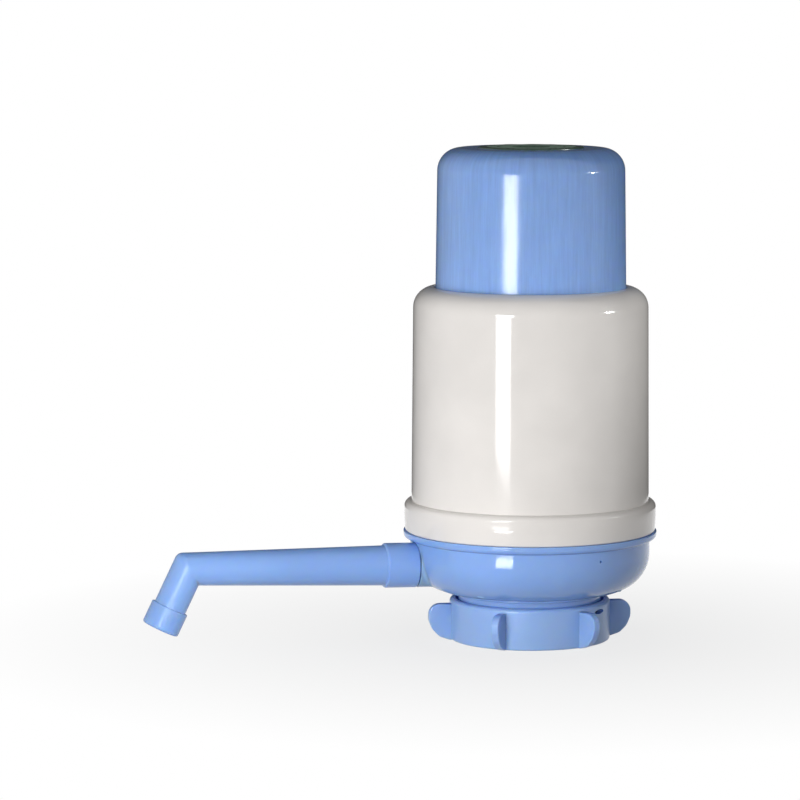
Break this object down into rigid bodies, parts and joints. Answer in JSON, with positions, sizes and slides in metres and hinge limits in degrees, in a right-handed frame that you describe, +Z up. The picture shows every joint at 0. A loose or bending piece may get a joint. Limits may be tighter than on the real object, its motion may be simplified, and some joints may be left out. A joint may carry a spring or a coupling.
{
  "type": "water jug hand pump",
  "caption": "Hand pump for a water jug: a press cap works an air piston inside a barrel, over a bowl with a swivelling bent spout and a finned screw collar for the jug's neck.",
  "frame": {"origin": "centre of the collar nut's underside, on the pump's axis", "axes": "+Z up the pump's axis, -X towards the spout"},
  "size_m": [0.2193, 0.1066, 0.2075],
  "materials": {
    "blue_plastic": "gloss",
    "white_plastic": "gloss",
    "inner_plastic": "satin",
    "seal_rubber": "matt",
    "spring_steel": "drawn wire",
    "screw_steel": "zinc plated",
    "label_print": "printed film"
  },
  "bodies": {
    "housing": {"base_bowl": "blue_plastic", "outer_shell": "white_plastic", "air_cylinder": "inner_plastic", "cylinder_screws": "screw_steel", "delivery_seal": "seal_rubber", "mouth_gasket": "seal_rubber", "dip_tube_adapter": "inner_plastic", "adapter_seal": "seal_rubber", "spout_oring": "seal_rubber", "return_spring": "spring_steel"},
    "cap": {"press_cap": "blue_plastic", "cap_label": "label_print", "cap_stop_ring": "inner_plastic", "piston_rod": "inner_plastic", "piston": "inner_plastic", "piston_seal": "seal_rubber", "piston_screw": "screw_steel"},
    "intake": {"intake_valve": "seal_rubber"},
    "delivery": {"delivery_valve": "seal_rubber"},
    "clamp": {"slip_washer": "inner_plastic", "grip_ring": "seal_rubber"},
    "collar": {"collar_nut": "blue_plastic"},
    "spout": {"spout_tube": "blue_plastic", "nozzle_tip": "blue_plastic"}
  },
  "joints": [
    {"name": "cap_press", "type": "slide", "parent": "housing", "child": "cap", "axis": [0, 0, -1], "range_m": [0, 0.045], "stiffness_N_per_m": 250, "springref_m": -0.02, "deforming": ["return_spring"]},
    {"name": "intake_lift", "type": "slide", "parent": "cap", "child": "intake", "axis": [0, 0, 1], "range_m": [0, 0.00078]},
    {"name": "delivery_lift", "type": "slide", "parent": "housing", "child": "delivery", "axis": [0, 0, 1], "range_m": [0, 0.00078]},
    {"name": "collar_travel", "type": "slide", "parent": "housing", "child": "clamp", "axis": [0, 0, 1], "range_m": [-0.00451, 0.00201]},
    {"name": "collar_turn", "type": "hinge", "parent": "clamp", "child": "collar", "pos_m": [0, 0, 0], "axis": [0, 0, 1], "range_deg": [-540, 240]},
    {"name": "spout_swivel", "type": "hinge", "parent": "housing", "child": "spout", "pos_m": [0, 0, 0.03183], "axis": [-0.9998, 0, 0.0209], "continuous": true}
  ],
  "couplings": [
    {"joint": "collar_travel", "follows": "collar_turn", "m_per_rad": 0.00047746}
  ]
}
